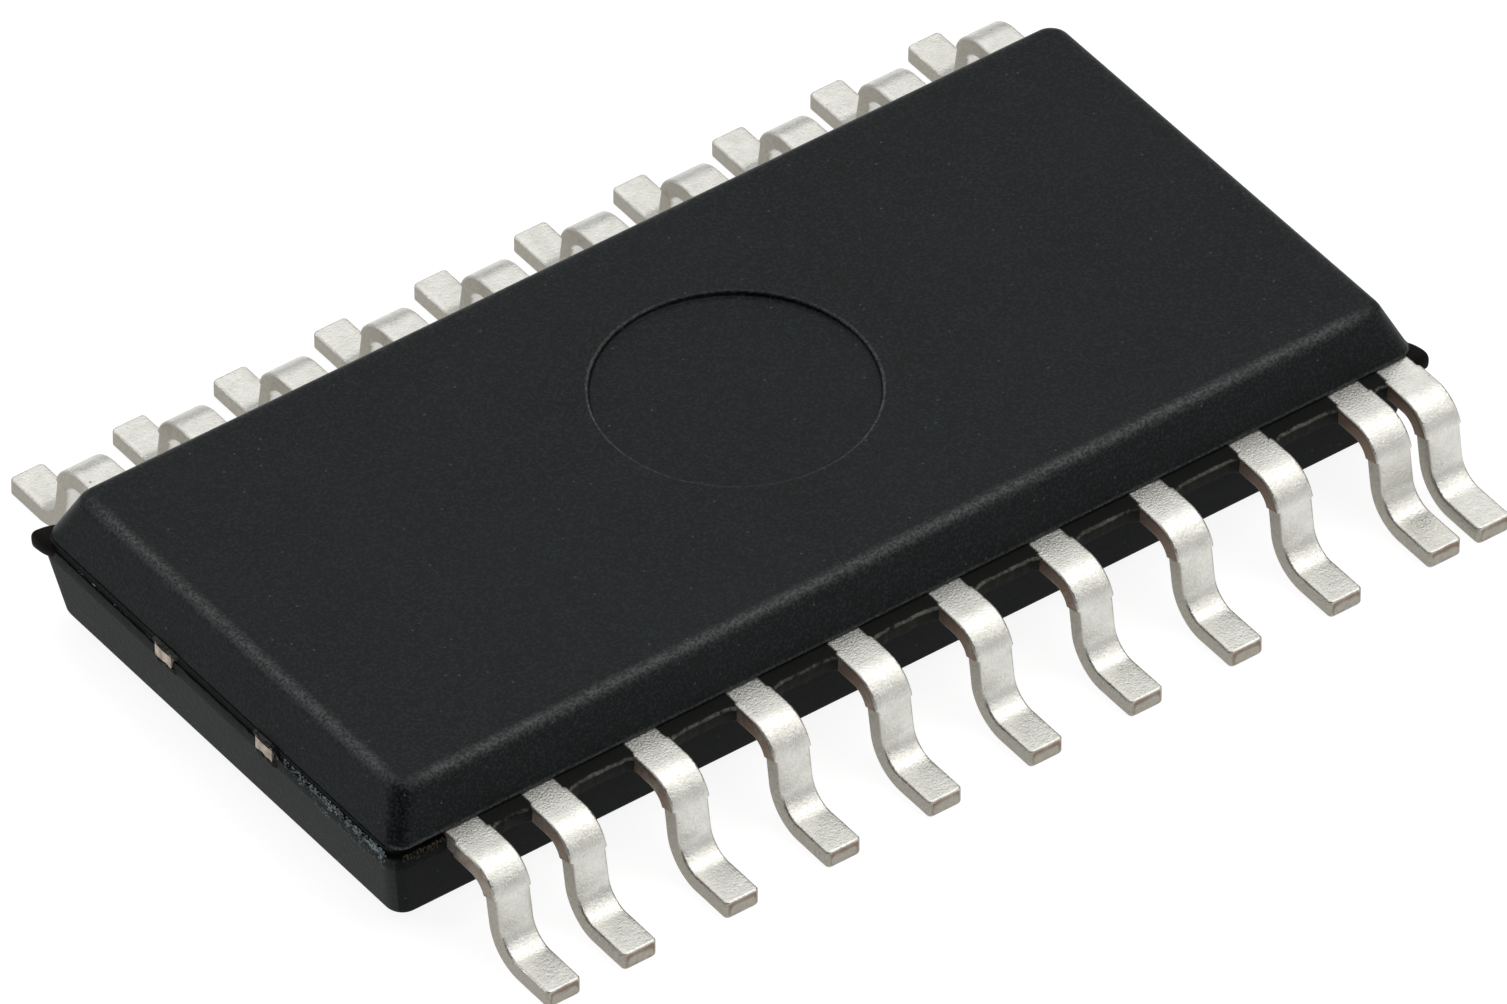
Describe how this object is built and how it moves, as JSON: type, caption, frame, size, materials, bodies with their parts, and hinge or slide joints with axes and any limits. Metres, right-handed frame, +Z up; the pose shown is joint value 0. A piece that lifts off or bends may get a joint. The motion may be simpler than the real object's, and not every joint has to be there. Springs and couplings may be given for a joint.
{
  "type": "analog-to-digital converter chip",
  "caption": "Small-outline surface-mount chip: black moulded body with a round recess on top and gull-wing leads along both long sides.",
  "frame": {"origin": "middle of the footprint, on the seating plane that the soles of the leads rest on", "axes": "+X along the rows of leads, +Y towards the row of ten leads, +Z up through the top face"},
  "size_m": [0.0132, 0.0096, 0.0017],
  "materials": {
    "epoxy": "black filled epoxy, transfer-moulded, satin-matte",
    "tinned_lead": "matte tin plating on a copper-alloy leadframe",
    "leadframe": "bare copper alloy, sheared at the tie-bar ends",
    "die_attach": "silver-filled epoxy",
    "silicon": "polished silicon",
    "bond_wire": "gold wire"
  },
  "bodies": {
    "root": {"back_lead_01": "tinned_lead", "back_lead_02": "tinned_lead", "back_lead_03": "tinned_lead", "back_lead_04": "tinned_lead", "back_lead_05": "tinned_lead", "back_lead_06": "tinned_lead", "back_lead_07": "tinned_lead", "back_lead_08": "tinned_lead", "back_lead_09": "tinned_lead", "back_lead_10": "tinned_lead", "back_wire_01": "bond_wire", "back_wire_02": "bond_wire", "back_wire_03": "bond_wire", "back_wire_04": "bond_wire", "back_wire_05": "bond_wire", "back_wire_06": "bond_wire", "back_wire_07": "bond_wire", "back_wire_08": "bond_wire", "back_wire_09": "bond_wire", "back_wire_10": "bond_wire", "die_attach": "die_attach", "die_paddle": "leadframe", "front_lead_01": "tinned_lead", "front_lead_02": "tinned_lead", "front_lead_03": "tinned_lead", "front_lead_04": "tinned_lead", "front_lead_05": "tinned_lead", "front_lead_06": "tinned_lead", "front_lead_07": "tinned_lead", "front_lead_08": "tinned_lead", "front_lead_09": "tinned_lead", "front_lead_10": "tinned_lead", "front_lead_11": "tinned_lead", "front_wire_01": "bond_wire", "front_wire_02": "bond_wire", "front_wire_03": "bond_wire", "front_wire_04": "bond_wire", "front_wire_05": "bond_wire", "front_wire_06": "bond_wire", "front_wire_07": "bond_wire", "front_wire_08": "bond_wire", "front_wire_09": "bond_wire", "front_wire_10": "bond_wire", "front_wire_11": "bond_wire", "moulded_body": "epoxy", "silicon_die": "silicon"}
  },
  "joints": []
}
